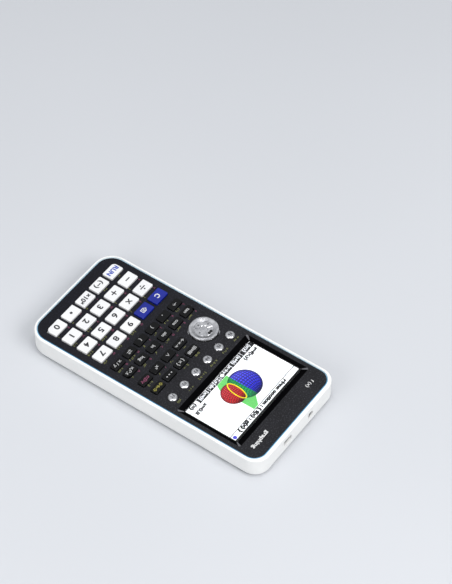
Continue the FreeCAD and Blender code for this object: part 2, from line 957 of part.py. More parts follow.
def build_keys():
    # Names run from the key nearest +X to the one nearest -X.
    white_rows = [
        ["key_0", "key_point", "key_power_ten", "key_negative", "key_execute"],
        ["key_1", "key_2", "key_3", "key_add", "key_subtract"],
        ["key_4", "key_5", "key_6", "key_multiply", "key_divide"],
        ["key_7", "key_8", "key_9", "key_delete", "key_all_clear"],
    ]
    for row, names in enumerate(white_rows):
        for column, name in enumerate(names):
            special = None
            if row == 0 and column in (0, 4):
                side = 1 if column == 0 else -1
                special = (side, -1, "white_outer_corner", "Fillet")
            across = cell("white_pitch_across") * (2 - column)
            build_cap_key(name, "white", across, white_row(row), special)

    black_rows = [
        ("row_shift", ["key_shift", "key_options", "key_variables", "key_menu"]),
        ("row_alpha", ["key_alpha", "key_square", "key_power", "key_exit"]),
        ("row_sine", ["key_variable_x", "key_log", "key_ln", "key_sin", "key_cos", "key_tan"]),
        (
            "row_fraction",
            ["key_fraction", "key_form_swap", "key_bracket_open", "key_bracket_close", "key_comma"]
            + ["key_store"],
        ),
    ]
    for row_name, names in black_rows:
        for column, name in enumerate(names):
            special = None
            if row_name == "row_sine" and column in (0, 5):
                side = 1 if column == 0 else -1
                special = (side, 1, "black_cut_corner", "Chamfer")
            across = cell("black_pitch") * (2.5 - column)
            build_cap_key(name, "black", across, along(cell(row_name)), special)

    for number in range(6):
        across = cell("round_pitch") * (2.5 - number)
        build_round_key(f"key_f{number + 1}", across, along(cell("row_round")))


def build_nav_disc():
    """Dished disc with four raised petals and four stepped diagonals, and the pivot under it."""
    across, up = cell("disc_across"), along(cell("disc_along"))
    radius = cell("disc_radius")
    top = cell("disc_top")
    skirt_inner = radius - 1.2
    socket = cell("pivot_radius") + cell("pivot_gap")
    socket_wall = 1.0
    roof = top - 2.0
    dish = top - 0.75
    disc = new_body("nav_disc")
    revolve(
        disc,
        [
            (0.0, dish),
            (0.0, roof - 0.5),
            (socket, roof - 0.5),
            (socket, mat_top + 0.9),
            (socket + socket_wall, mat_top + 0.9),
            (socket + socket_wall, roof),
            (skirt_inner, roof),
            (skirt_inner, cell("disc_flange_bottom")),
            (cell("disc_flange_radius"), cell("disc_flange_bottom")),
            (cell("disc_flange_radius"), cell("disc_flange_top")),
            (radius, cell("disc_flange_top")),
            (radius, top - 0.9),
            (radius - 0.35, top - 0.25),
            (radius - 1.0, top),
            (radius - 1.7, top - 0.05),
            (radius - 4.0, dish),
        ],
    )
    sketch = new_sketch(disc, level=top)
    step = 0.45
    slope = cell("disc_flat") * math.sqrt(0.5)
    wide = 6.0
    draw_polygon(
        sketch,
        [
            (slope + wide, slope - wide),
            (slope + wide + 4.0, slope - wide + 4.0),
            (slope - wide + 4.0, slope + wide + 4.0),
            (slope - wide, slope + wide),
        ],
    )
    cut = pocket(disc, sketch, step)
    ring_pattern(disc, cut, sketch, 4)

    petal_angle = 62.0
    petal_top = top - 0.3
    petal_start = 2.5
    petal_end = radius - 3.5
    petal = revolve(
        disc,
        [
            (petal_start, dish - 0.4),
            (petal_start, dish + 0.1),
            (petal_start + 0.35, petal_top),
            (petal_end - 0.6, petal_top),
            (petal_end, dish + 0.1),
            (petal_end, dish - 0.4),
        ],
        petal_angle,
    )
    ring_pattern(disc, petal, sketch, 4)
    place(disc, across, up)
    nodes.append(disc)

    pivot = new_body("nav_pivot")
    low = mat_top + 0.2
    ridge = roof - 0.5 - 0.2
    revolve(
        pivot,
        [
            (0.0, low),
            (cell("pivot_radius") - 0.5, low),
            (cell("pivot_radius"), low + 0.5),
            (cell("pivot_radius"), ridge - 0.9),
            (cell("pivot_radius") - 1.4, ridge),
            (0.0, ridge),
        ],
    )
    place(pivot, across, up)
    nodes.append(pivot)


# ---------------------------------------------------------------- power, sockets and fasteners


def build_cells():
    """Four cells lying side by side, turned end for end by turns."""
    pieces = []
    for number in range(4):
        body = new_body(f"cell_{number + 1}")
        radius = cell("cell_radius")
        length = cell("cell_length")
        edge = 0.5
        revolve(
            body,
            [
                (0.0, 0.0),
                (radius - edge, 0.0),
                (radius, edge),
                (radius, length - edge),
                (radius - edge, length),
                (cell("nub_radius"), length),
                (cell("nub_radius"), length + cell("nub_length")),
                (0.0, length + cell("nub_length")),
            ],
        )
        forward = number % 2 == 0
        turn = -90 if forward else 90
        body.Placement.Rotation = FreeCAD.Rotation(FreeCAD.Vector(1, 0, 0), turn)
        start = cell("cell_start")
        if not forward:
            start = start + length + cell("nub_length")
        place(body, cell("cell_pitch") * (number - 1.5), along(start), cell("cell_height"))
        pieces.append(body)
    nodes.append(group("batteries", pieces))


def build_contacts():
    """Folded leaf contacts standing against the bay's end walls, one at each end of each cell."""
    pieces = []
    leaf = 0.25
    tall = 3.6
    wide = 7.0
    start_reach = cell("cell_start") - cell("bay_start")
    cell_end = cell("cell_start") + cell("cell_length") + cell("nub_length")
    end_reach = cell("bay_cross_wall") - cell_end
    for number in range(8):
        body = new_body(f"contact_{number + 1}")
        at_start = number < 4
        side = 1 if at_start else -1
        reach = (start_reach if at_start else end_reach) - 0.05
        sketch = new_sketch(body, "YZ_Plane")
        profile = [
            (0.0, -tall),
            (leaf * side, -tall),
            (leaf * side, tall - 0.8),
            ((reach - leaf * 1.2) * side, 0.0),
            ((reach - leaf * 1.2) * 0.35 * side, -tall + 0.6),
            ((reach - leaf * 1.2) * 0.35 * side + leaf * side, -tall + 0.45),
            (reach * side, 0.0),
            (leaf * side, tall),
            (0.0, tall),
        ]
        draw_polygon(sketch, profile)
        strip = pad(body, sketch, wide)
        strip.Midplane = True
        wall = cell("bay_start") if at_start else cell("bay_cross_wall")
        place(body, cell("cell_pitch") * (number % 4 - 1.5), along(wall), cell("cell_height"))
        pieces.append(body)
    nodes.append(group("battery_contacts", pieces))


def build_battery_cover():
    """Flat cover in the back, with two hooks at one end and a finger scoop at the other."""
    body = new_body("battery_cover")
    sketch = new_sketch(body, level=back)
    draw_box(
        sketch,
        -cell("cover_half"),
        cell("cover_half"),
        along(cell("cover_start")),
        along(cell("bay_end") - cell("cover_gap")),
    )
    pad(body, sketch, cell("cover_thick"))

    hook_half = 3.0
    hook_across = 14.0
    hook_start = 80.5
    hook_reach = 1.5
    hook_thick = 0.8
    hook_level = floor + cell("floor_raise") + 0.15
    hook_root = cell("bay_end") - cell("cover_gap") - 0.5
    for side in (-1, 1):
        sketch = new_sketch(body, level=back + cell("cover_thick") - 0.1)
        draw_box(
            sketch,
            side * hook_across - hook_half,
            side * hook_across + hook_half,
            along(hook_start),
            along(hook_root),
        )
        pad(body, sketch, hook_level + hook_thick - back - cell("cover_thick") + 0.1)
        sketch = new_sketch(body, level=hook_level)
        draw_box(
            sketch,
            side * hook_across - hook_half,
            side * hook_across + hook_half,
            along(hook_start),
            along(cell("bay_end") + hook_reach),
        )
        pad(body, sketch, hook_thick)

    scoop_radius = 6.0
    scoop_deep = 0.6
    sketch = new_sketch(body, level=back)
    draw_circle(sketch, 0.0, along(cell("cover_start") + 8.0), scoop_radius)
    pocket(body, sketch, scoop_deep, backwards=True)

    groove_count = 5
    groove_pitch = 1.6
    sketch = new_sketch(body, level=back)
    draw_box(sketch, -5.0, 5.0, along(cell("cover_start") + 18.0), along(cell("cover_start") + 18.8))
    groove = pocket(body, sketch, 0.3, backwards=True)
    pattern = body.newObject("PartDesign::LinearPattern", "battery_cover_grooves")
    pattern.Originals = [groove]
    pattern.Direction = (sketch, ["V_Axis"])
    pattern.Mode = "Spacing"
    pattern.Offset = groove_pitch
    pattern.Occurrences = groove_count
    body.Tip = pattern
    nodes.append(body)


def build_port_sockets():
    """The USB socket with its tongue, and the link jack with its round nose and bore."""
    usb = new_body("usb_socket")
    mouth = half_length - 1.2
    sketch = new_sketch(usb, "XZ_Plane", level=-mouth)
    draw_middle_rounded(sketch, cell("usb_width"), cell("usb_tall"), 0.9, cell("usb_across"), usb_middle)
    pad(usb, sketch, cell("usb_length"))
    wall = cell("usb_wall") * 2
    deep = 6.0
    sketch = new_sketch(usb, "XZ_Plane", level=-mouth)
    draw_middle_rounded(
        sketch,
        cell("usb_width") - wall,
        cell("usb_tall") - wall,
        0.6,
        cell("usb_across"),
        usb_middle,
    )
    pocket(usb, sketch, deep, backwards=True)
    sketch = new_sketch(usb, "XZ_Plane", level=-(mouth - 1.0))
    draw_middle_rounded(sketch, 4.6, 0.9, 0.2, cell("usb_across"), usb_middle)
    pad(usb, sketch, deep - 0.5)

    jack = new_body("link_jack")
    nose_end = half_length - 0.8
    nose_long = 2.7
    sketch = new_sketch(jack, "XZ_Plane", level=-nose_end)
    draw_circle(sketch, cell("jack_across"), jack_middle, cell("jack_nose_radius"))
    pad(jack, sketch, nose_long)
    sketch = new_sketch(jack, "XZ_Plane", level=-(nose_end - nose_long))
    draw_middle_rounded(
        sketch, cell("jack_body"), cell("jack_tall"), 0.4, cell("jack_across"), jack_middle
    )
    pad(jack, sketch, cell("jack_length"))
    sketch = new_sketch(jack, "XZ_Plane", level=-nose_end)
    draw_circle(sketch, cell("jack_across"), jack_middle, cell("jack_bore_radius"))
    pocket(jack, sketch, nose_long + cell("jack_length") - 1.0, backwards=True)
    nodes.append(group("port_sockets", [usb, jack]))


def build_screws():
    """Six equal self-tapping screws, heads down, each with a cross slot in its head."""
    pieces = []
    for number, (side, across, up) in enumerate(POSTS, start=1):
        body = new_body(f"screw_{number}")
        radius = cell("screw_radius")
        head = cell("screw_head_radius")
        thick = cell("screw_head_thick")
        revolve(
            body,
            [
                (0.0, -thick),
                (head - 0.4, -thick),
                (head, -thick + 0.5),
                (head, 0.0),
                (radius, 0.0),
                (radius, cell("screw_length") - 0.8),
                (radius * 0.4, cell("screw_length")),
                (0.0, cell("screw_length")),
            ],
        )
        arm = 1.1
        half_slot = 0.25
        sketch = new_sketch(body, level=-thick)
        draw_polygon(
            sketch,
            [
                (half_slot, half_slot),
                (arm, half_slot),
                (arm, -half_slot),
                (half_slot, -half_slot),
                (half_slot, -arm),
                (-half_slot, -arm),
                (-half_slot, -half_slot),
                (-arm, -half_slot),
                (-arm, half_slot),
                (-half_slot, half_slot),
                (-half_slot, arm),
                (half_slot, arm),
            ],
        )
        pocket(body, sketch, 0.7, backwards=True)
        place(body, across * side, up, screw_seat)
        pieces.append(body)
    nodes.append(group("case_screws", pieces))


def build_feet():
    """Four round rubber feet, glued in shallow recesses in the back."""
    pieces = []
    for number, (across, up) in enumerate(feet_places(), start=1):
        body = new_body(f"foot_{number}")
        radius = cell("foot_radius")
        tall = cell("foot_proud") + cell("foot_sink")
        edge = 0.3
        revolve(
            body,
            [(0.0, 0.0), (radius - edge, 0.0), (radius, edge), (radius, tall), (0.0, tall)],
        )
        place(body, across, up)
        pieces.append(body)
    nodes.append(group("rubber_feet", pieces))


# ---------------------------------------------------------------- build, check and write

build_front_case()
build_rear_case()
build_display()
build_main_board()
build_key_mat()
build_keys()
build_nav_disc()
build_cells()
build_contacts()
build_battery_cover()
build_port_sockets()
build_screws()
build_feet()
doc.recompute()

for item in doc.Objects:
    if "Invalid" in item.State or "Error" in item.State:
        raise RuntimeError(f"{item.Name} failed: {item.State}")
for node in nodes:
    if node.Shape.isNull() or not node.Shape.isValid():
        raise RuntimeError(f"{node.Label} has no valid shape")
for node in nodes:
    node.Shape.exportStep(f"parts/{node.Label}.step")
    box = node.Shape.BoundBox
    print(
        f"{node.Label:20s} solids {len(node.Shape.Solids)} volume {node.Shape.Volume:9.1f}"
        f" x {box.XMin:7.2f} {box.XMax:7.2f} y {box.YMin:7.2f} {box.YMax:7.2f}"
        f" z {box.ZMin:6.2f} {box.ZMax:6.2f}"
    )
print(len(nodes), "nodes")
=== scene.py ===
import json
import math

import bmesh
import bpy
from mathutils import Matrix, Vector


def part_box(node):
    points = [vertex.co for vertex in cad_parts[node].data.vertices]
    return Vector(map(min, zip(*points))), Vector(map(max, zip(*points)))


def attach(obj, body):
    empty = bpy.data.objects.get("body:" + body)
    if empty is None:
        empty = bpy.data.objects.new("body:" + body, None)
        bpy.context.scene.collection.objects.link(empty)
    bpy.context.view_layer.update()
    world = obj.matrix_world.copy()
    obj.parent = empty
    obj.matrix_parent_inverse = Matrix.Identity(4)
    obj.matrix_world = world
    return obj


# A graphing calculator lying on its back. Metres, in the CAD frame: +Y towards the screen end,
# +Z out of the face. Flat printing sits a few hundredths of a millimetre proud of what it is
# printed on.

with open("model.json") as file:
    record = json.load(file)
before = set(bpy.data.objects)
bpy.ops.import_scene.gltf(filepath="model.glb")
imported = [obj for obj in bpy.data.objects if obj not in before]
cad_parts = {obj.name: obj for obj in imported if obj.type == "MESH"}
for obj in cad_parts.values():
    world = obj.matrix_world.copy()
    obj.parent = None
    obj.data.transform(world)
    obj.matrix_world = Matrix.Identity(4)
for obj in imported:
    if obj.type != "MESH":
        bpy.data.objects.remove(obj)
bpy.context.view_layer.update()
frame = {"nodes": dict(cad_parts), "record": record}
nodes = frame["nodes"]

MM = 0.001
INK = 0.03 * MM  # thickness of printed marks


# ------------------------------------------------------------------ colours


def srgb(red, green, blue):
    """A colour given as the eye reads it, 0 to 255, turned into linear light."""
    return tuple(linear(channel / 255.0) for channel in (red, green, blue)) + (1.0,)


def linear(value):
    return value / 12.92 if value <= 0.04045 else ((value + 0.055) / 1.055) ** 2.4


# ------------------------------------------------------------------ materials


class Paint:
    """A Principled material with helpers that add procedural detail."""

    def __init__(self, name, roughness=0.5, metallic=0.0, **sockets):
        self.material = bpy.data.materials.new(name)
        self.material.use_nodes = True
        self.tree = self.material.node_tree
        self.shader = self.tree.nodes["Principled BSDF"]
        self.shader.inputs["Roughness"].default_value = roughness
        self.shader.inputs["Metallic"].default_value = metallic
        for socket, value in sockets.items():
            self.shader.inputs[socket.replace("_", " ")].default_value = value
        self.place = self.add("ShaderNodeTexCoord").outputs["Object"]
        self.height = None

    def add(self, kind, **inputs):
        node = self.tree.nodes.new(kind)
        for socket, value in inputs.items():
            self.feed(node.inputs[socket.replace("_", " ")], value)
        return node

    def feed(self, socket, value):
        if isinstance(value, bpy.types.NodeSocket):
            self.tree.links.new(value, socket)
        else:
            socket.default_value = value

    def noise(self, size, detail=2.0, roughness=0.5, place=None):
        """Noise with features of this size in metres, as a value about 0.5."""
        node = self.add(
            "ShaderNodeTexNoise",
            Vector=place or self.place,
            Scale=1.0 / size,
            Detail=detail,
            Roughness=roughness,
        )
        return node.outputs["Fac"]

    def ramp(self, value, stops):
        """A colour ramp given as (position, colour) pairs."""
        node = self.add("ShaderNodeValToRGB", Fac=value)
        elements = node.color_ramp.elements
        while len(elements) < len(stops):
            elements.new(0.5)
        for element, (position, colour) in zip(elements, stops):
            element.position = position
            element.color = colour
        return node.outputs["Color"]

    def mix(self, factor, first, second, blend="MIX"):
        node = self.tree.nodes.new("ShaderNodeMix")
        node.data_type = "RGBA"
        node.blend_type = blend
        self.feed(node.inputs[0], factor)
        self.feed(node.inputs[6], first)
        self.feed(node.inputs[7], second)
        return node.outputs[2]

    def math(self, operation, first, second=0.0):
        node = self.tree.nodes.new("ShaderNodeMath")
        node.operation = operation
        self.feed(node.inputs[0], first)
        self.feed(node.inputs[1], second)
        return node.outputs[0]

    def span(self, value, low, high, to_low=0.0, to_high=1.0):
        """Map a value's range onto another, clamped."""
        node = self.tree.nodes.new("ShaderNodeMapRange")
        self.feed(node.inputs["Value"], value)
        node.inputs["From Min"].default_value = low
        node.inputs["From Max"].default_value = high
        node.inputs["To Min"].default_value = to_low
        node.inputs["To Max"].default_value = to_high
        return node.outputs["Result"]

    def axis(self, name):
        return self.add("ShaderNodeSeparateXYZ", Vector=self.place).outputs[name]

    def colour(self, value):
        self.feed(self.shader.inputs["Base Color"], value)

    def rough(self, value):
        self.feed(self.shader.inputs["Roughness"], value)

    def bump(self, value, depth, strength=1.0):
        node = self.add("ShaderNodeBump", Height=value, Strength=strength, Distance=depth)
        if self.height is not None:
            self.feed(node.inputs["Normal"], self.height)
        self.height = node.outputs["Normal"]
        self.feed(self.shader.inputs["Normal"], self.height)


def moulded(name, dark, light, roughness, grain, depth, fleck=None, uneven=0.05, **sockets):
    """Moulded plastic: two close tones, a fine grain in the surface, and an uneven polish."""
    paint = Paint(name, roughness, **sockets)
    broad = paint.noise(14 * MM, 3.0)
    fine = paint.noise(grain, 2.0, 0.6)
    tone = paint.mix(paint.span(broad, 0.3, 0.7), dark, light)
    if fleck:
        tone = paint.mix(paint.span(fine, 0.52, 0.72), tone, fleck)
    paint.colour(tone)
    polish = paint.noise(5 * MM, 4.0)
    paint.rough(paint.span(polish, 0.3, 0.7, roughness - uneven, roughness + uneven))
    paint.bump(fine, depth)
    return paint


def face_plastic():
    """Grained charcoal plastic, a little darker and bluer towards the number keys."""
    paint = moulded(
        "grained_charcoal_plastic",
        srgb(19, 19, 22),
        srgb(26, 26, 30),
        0.55,
        0.9 * MM,
        0.06 * MM,
        fleck=srgb(58, 58, 63),
        Specular_IOR_Level=0.24,
    )
    charcoal = paint.shader.inputs["Base Color"].links[0].from_socket
    navy = paint.mix(1.0, charcoal, (0.32, 0.33, 0.55, 1.0), "MULTIPLY")
    paint.colour(paint.mix(paint.span(paint.axis("Y"), -70 * MM, 20 * MM), navy, charcoal))
    return paint


def make_materials():
    paints = {}
    paints["dark_face"] = face_plastic()
    paints["white_shell"] = moulded(
        "white_shell_plastic",
        srgb(236, 236, 234),
        srgb(240, 240, 238),
        0.34,
        0.3 * MM,
        0.004 * MM,
        uneven=0.015,
    )
    paints["white_key"] = moulded(
        "white_key_plastic",
        srgb(224, 224, 225),
        srgb(231, 231, 231),
        0.33,
        0.25 * MM,
        0.008 * MM,
    )
    paints["blue_key"] = moulded(
        "blue_key_plastic", srgb(8, 24, 124), srgb(14, 34, 146), 0.3, 0.25 * MM, 0.008 * MM
    )
    paints["black_key"] = moulded(
        "black_key_plastic",
        srgb(6, 6, 7),
        srgb(10, 10, 11),
        0.24,
        0.25 * MM,
        0.003 * MM,
        Specular_IOR_Level=0.22,
    )
    paints["pivot_plastic"] = moulded(
        "pivot_plastic", srgb(40, 40, 42), srgb(52, 52, 54), 0.5, 0.3 * MM, 0.01 * MM
    )
    paints["rubber"] = moulded(
        "foot_rubber", srgb(26, 26, 27), srgb(36, 36, 37), 0.75, 0.2 * MM, 0.03 * MM
    )
    paints["silicone"] = moulded(
        "key_mat_silicone", srgb(150, 150, 152), srgb(168, 168, 170), 0.6, 0.3 * MM, 0.01 * MM
    )
    paints["battery_sleeve"] = moulded(
        "battery_sleeve", srgb(50, 92, 140), srgb(60, 104, 154), 0.3, 0.4 * MM, 0.004 * MM
    )
    paints["circuit_board"] = circuit_board()
    paints["silver_plastic"] = silver("metallised_silver")
    for name, tone, roughness in (
        ("spring_steel", srgb(205, 205, 208), 0.25),
        ("socket_metal", srgb(186, 186, 188), 0.32),
        ("screw_steel", srgb(120, 120, 124), 0.35),
    ):
        paints[name] = metal(name, tone, roughness)
    paints["display"] = metal("display_frame", srgb(60, 60, 64), 0.4)
    paints["clear_window"] = clear_window()
    return paints


def silver(name):
    """Metallised plastic: bright, softly clouded, with a satin polish."""
    paint = Paint(name, 0.2, 0.95)
    cloud = paint.noise(3.0 * MM, 2.0, 0.5)
    paint.colour(paint.ramp(cloud, [(0.3, srgb(184, 184, 187)), (0.7, srgb(224, 224, 226))]))
    paint.rough(paint.span(cloud, 0.3, 0.7, 0.16, 0.26))
    paint.bump(paint.noise(1.6 * MM, 2.0), 0.06 * MM)
    return paint


def metal(name, tone, roughness):
    """Plated sheet metal with faint rolling marks."""
    paint = Paint(name, roughness, 1.0)
    stretch = paint.add("ShaderNodeMapping", Vector=paint.place, Scale=(1.0, 0.05, 1.0))
    marks = paint.noise(0.3 * MM, 3.0, 0.6, stretch.outputs["Vector"])
    darker = tuple(channel * 0.75 for channel in tone[:3]) + (1.0,)
    paint.colour(paint.mix(paint.span(marks, 0.3, 0.7), darker, tone))
    paint.rough(paint.span(marks, 0.3, 0.7, roughness - 0.08, roughness + 0.1))
    paint.bump(marks, 0.004 * MM)
    return paint


def circuit_board():
    paint = Paint("green_solder_mask", 0.35)
    lanes = paint.add("ShaderNodeTexBrick", Vector=paint.place, Scale=350.0)
    lanes.inputs["Color1"].default_value = srgb(18, 92, 48)
    lanes.inputs["Color2"].default_value = srgb(22, 104, 54)
    lanes.inputs["Mortar"].default_value = srgb(48, 132, 70)
    paint.colour(lanes.outputs["Color"])
    paint.bump(lanes.outputs["Fac"], 0.02 * MM)
    return paint


def clear_window():
    """Clear coated acrylic, nearly free of reflections, with the faintest unevenness."""
    paint = Paint("clear_acrylic", 0.02, Transmission_Weight=1.0, IOR=1.12)
    haze = paint.noise(20 * MM, 2.0)
    paint.colour(paint.ramp(haze, [(0.3, (0.96, 0.97, 0.98, 1.0)), (0.7, (1.0, 1.0, 1.0, 1.0))]))
    paint.rough(paint.span(haze, 0.3, 0.7, 0.015, 0.03))
    return paint


paints = make_materials()
record_slots = {entry["node"]: entry["material_slot"] for entry in frame["record"]["subparts"]}
for name, thing in nodes.items():
    for material_slot in thing.material_slots:
        material_slot.material = paints[record_slots[name]].material

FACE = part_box("front_case")[1].z

# ------------------------------------------------------------------ printed marks and thin pieces


class Print:
    """Flat marks of one colour, gathered into one piece that rides on one body."""

    def __init__(self, name, paint, body, slot_name):
        self.name = name
        self.paint = paint
        self.body = body
        self.slot_name = slot_name
        self.mesh = bmesh.new()

    def letters(self, text, across, along, level, tall, weight=0.0, wide=1.0):
        """Text centred on a spot, its capitals this tall. Weight thickens the strokes."""
        curve = bpy.data.curves.new("text", "FONT")
        curve.body = text
        curve.size = tall / CAPITAL
        curve.align_x = "CENTER"
        curve.extrude = INK / 2
        curve.offset = weight
        curve.resolution_u = 4
        holder = bpy.data.objects.new("text", curve)
        bpy.context.scene.collection.objects.link(holder)
        graph = bpy.context.evaluated_depsgraph_get()
        flat = bpy.data.meshes.new_from_object(holder.evaluated_get(graph))
        place = Matrix.Translation((across, along - tall / 2, level + INK / 2))
        flat.transform(place @ Matrix.Diagonal((wide, 1.0, 1.0, 1.0)))
        self.mesh.from_mesh(flat)
        bpy.data.objects.remove(holder)
        bpy.data.curves.remove(curve)
        bpy.data.meshes.remove(flat)

    def shape(self, outline, level, thick=INK):
        """A flat plate with this outline."""
        ring = [self.mesh.verts.new((x, y, level)) for x, y in outline]
        face = self.mesh.faces.new(ring)
        face.normal_update()
        if face.normal.z < 0:
            face.normal_flip()
        made = bmesh.ops.extrude_face_region(self.mesh, geom=[face])
        lifted = [item for item in made["geom"] if isinstance(item, bmesh.types.BMVert)]
        bmesh.ops.translate(self.mesh, verts=lifted, vec=(0, 0, thick))

    def band(self, outer, inner, level, thick=INK):
        """A flat ring between two outlines that have the same number of points."""
        rings = []
        for outline, height in ((outer, 0.0), (outer, thick), (inner, thick), (inner, 0.0)):
            rings.append([self.mesh.verts.new((x, y, level + height)) for x, y in outline])
        count = len(outer)
        for number, ring in enumerate(rings):
            following = rings[(number + 1) % 4]
            for index in range(count):
                after = (index + 1) % count
                self.mesh.faces.new((ring[index], ring[after], following[after], following[index]))

    def box(self, left, right, bottom, top, level, thick=INK):
        self.shape([(left, bottom), (right, bottom), (right, top), (left, top)], level, thick)

    def bar(self, centre, long, wide, level, turn=0.0):
        """A straight stroke, turned by an angle in degrees."""
        angle = math.radians(turn)
        along = Vector((math.cos(angle), math.sin(angle))) * long / 2
        across = Vector((-math.sin(angle), math.cos(angle))) * wide / 2
        middle = Vector(centre)
        corners = (along + across, across - along, -along - across, along - across)
        self.shape([tuple(middle + corner) for corner in corners], level)

    def dot(self, centre, radius, level):
        self.shape(arc(centre, radius, 0, 345, 24), level)

    def finish(self):
        bmesh.ops.recalc_face_normals(self.mesh, faces=self.mesh.faces)
        data = bpy.data.meshes.new(self.name)
        self.mesh.to_mesh(data)
        self.mesh.free()
        data.materials.append(self.paint.material)
        piece = bpy.data.objects.new(self.name, data)
        bpy.context.scene.collection.objects.link(piece)
        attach(piece, self.body)
        return piece


def arc(centre, radius, start, end, count, tall=None, tilt=0.0):
    """Points along an ellipse, angles in degrees."""
    tall = radius if tall is None else tall
    points = []
    for index in range(count):
        angle = math.radians(start + (end - start) * index / (count - 1))
        x, y = radius * math.cos(angle), tall * math.sin(angle)
        turn = math.radians(tilt)
        points.append(
            (
                centre[0] + x * math.cos(turn) - y * math.sin(turn),
                centre[1] + x * math.sin(turn) + y * math.cos(turn),
            )
        )
    return points


CAPITAL = 0.728  # height of a capital letter in the built-in font, for a size of 1


def ink(name, colour, roughness=0.45, glow=0.0):
    """Printing ink: one hue, slightly uneven in tone."""
    paint = Paint(name, roughness)
    spread = paint.noise(0.6 * MM, 2.0)
    darker = tuple(channel * 0.82 for channel in colour[:3]) + (1.0,)
    tone = paint.mix(paint.span(spread, 0.3, 0.7), darker, colour)
    paint.colour(tone)
    if glow:
        paint.feed(paint.shader.inputs["Emission Color"], tone)
        paint.shader.inputs["Emission Strength"].default_value = glow
    return paint


# ------------------------------------------------------------------ accent line round the face


def accent_line():
    """The bevel round the face plate fades from pale blue outside to deep blue inside."""
    low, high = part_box("front_case")
    bevel = 0.8 * MM
    paint = Paint("blue_accent_line", 0.25)
    paint.colour(
        paint.ramp(
            paint.span(paint.axis("Z"), high.z - bevel, high.z),
            [
                (0.0, srgb(214, 236, 246)),
                (0.45, srgb(150, 204, 230)),
                (0.75, srgb(52, 116, 156)),
                (1.0, srgb(18, 36, 54)),
            ],
        )
    )
    paint.bump(paint.noise(0.3 * MM, 2.0), 0.004 * MM)
    face_plate = nodes["front_case"]
    face_plate.data.materials.append(paint.material)
    accent = len(face_plate.data.materials) - 1
    reach = 1.2 * MM
    corner = 12.0 * MM

    def near_rim(x, y):
        side = min(x - low.x, high.x - x, y - low.y, high.y - y) < reach
        inset_x = min(x - low.x, high.x - x)
        inset_y = min(y - low.y, high.y - y)
        if inset_x < corner and inset_y < corner:
            gap = math.hypot(corner - inset_x, corner - inset_y)
            return side or gap > corner - 3.2 * MM
        return side

    for polygon in face_plate.data.polygons:
        x, y, z = polygon.center
        tilted = 0.4 < polygon.normal.z < 0.95
        on_bevel = high.z - bevel * 1.05 < z < high.z
        if tilted and on_bevel and near_rim(x, y):
            polygon.material_index = accent


accent_line()


def display_bezel():
    """The sloping walls of the display's recess are near black with almost no reflection: the
    plastic's own black, deepened as painted shade in the recess. Their curved corners are lighter
    grey as a painted highlight.
    """
    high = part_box("front_case")[1]
    near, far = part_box("display_window")
    # painted shade: near-black walls with almost no reflection stand in for the shade inside the
    # recess, over the plastic's own black
    black = moulded(
        "bezel_black_and_painted_shade",
        srgb(2, 2, 3),
        srgb(5, 5, 6),
        0.6,
        0.3 * MM,
        0.003 * MM,
        Specular_IOR_Level=0.02,
    )
    # painted highlight: the recess corners are coloured lighter grey where curved surfaces would
    # catch the light
    painted_corner_highlight = moulded("bezel_corner_painted_highlight", srgb(74, 74, 78), srgb(98, 98, 102), 0.4, 0.3 * MM, 0.003 * MM)
    face_plate = nodes["front_case"]
    face_plate.data.materials.append(black.material)
    face_plate.data.materials.append(painted_corner_highlight.material)
    bezel = len(face_plate.data.materials) - 2
    wall, deepest = 1.4 * MM, 1.65 * MM
    for polygon in face_plate.data.polygons:
        x, y, z = polygon.center
        inside = near.x - wall < x < far.x + wall and near.y - 2 * wall < y < far.y + 2 * wall
        sloped = 0.05 < polygon.normal.z < 0.995
        at_corner = min(abs(polygon.normal.x), abs(polygon.normal.y)) > 0.06
        # corner polygons get the painted highlight, the rest of the walls the black with painted
        # shade
        if inside and sloped and high.z - deepest < z < high.z:
            polygon.material_index = bezel + 1 if at_corner else bezel


display_bezel()

# ------------------------------------------------------------------ the picture on the display

GLOW = 0.5  # light given off by the lit display
NET = 17  # parallels and meridians drawn on half a ball


def sphere_paint(name, centre, radius, shade, tone, light):
    """A shaded ball with a net of meridians and parallels, drawn flat on the display."""
    paint = Paint(name, 0.5)
    x = paint.math("DIVIDE", paint.math("SUBTRACT", paint.axis("X"), centre[0]), radius)
    y = paint.math("DIVIDE", paint.math("SUBTRACT", paint.axis("Y"), centre[1]), radius)
    flat = paint.math("ADD", paint.math("MULTIPLY", x, x), paint.math("MULTIPLY", y, y))
    depth = paint.math("SQRT", paint.math("MAXIMUM", paint.math("SUBTRACT", 1.0, flat), 0.0001))
    lean = 0.45  # how far the ball's pole leans towards the viewer, in radians
    height = paint.math(
        "ADD",
        paint.math("MULTIPLY", y, math.cos(lean)),
        paint.math("MULTIPLY", depth, math.sin(lean)),
    )
    toward = paint.math(
        "SUBTRACT",
        paint.math("MULTIPLY", depth, math.cos(lean)),
        paint.math("MULTIPLY", y, math.sin(lean)),
    )
    line_share, line_strength = 0.34, 0.8
    lines = []
    for angle in (paint.math("ARCSINE", height), paint.math("ARCTAN2", x, toward)):
        count = paint.math("MULTIPLY", angle, NET / math.pi)
        lines.append(paint.math("LESS_THAN", paint.math("FRACT", count), line_share))
    net = paint.math("MAXIMUM", *lines)
    body = paint.mix(paint.span(y, -0.9, 0.55), light, tone)
    body = paint.mix(paint.span(y, 0.5, 0.95), body, shade)
    body = paint.mix(paint.span(flat, 0.72, 1.0), body, shade)
    tinted = paint.mix(paint.math("MULTIPLY", net, line_strength), body, shade)
    paint.colour(tinted)
    paint.feed(paint.shader.inputs["Emission Color"], tinted)
    paint.shader.inputs["Emission Strength"].default_value = GLOW
    return paint


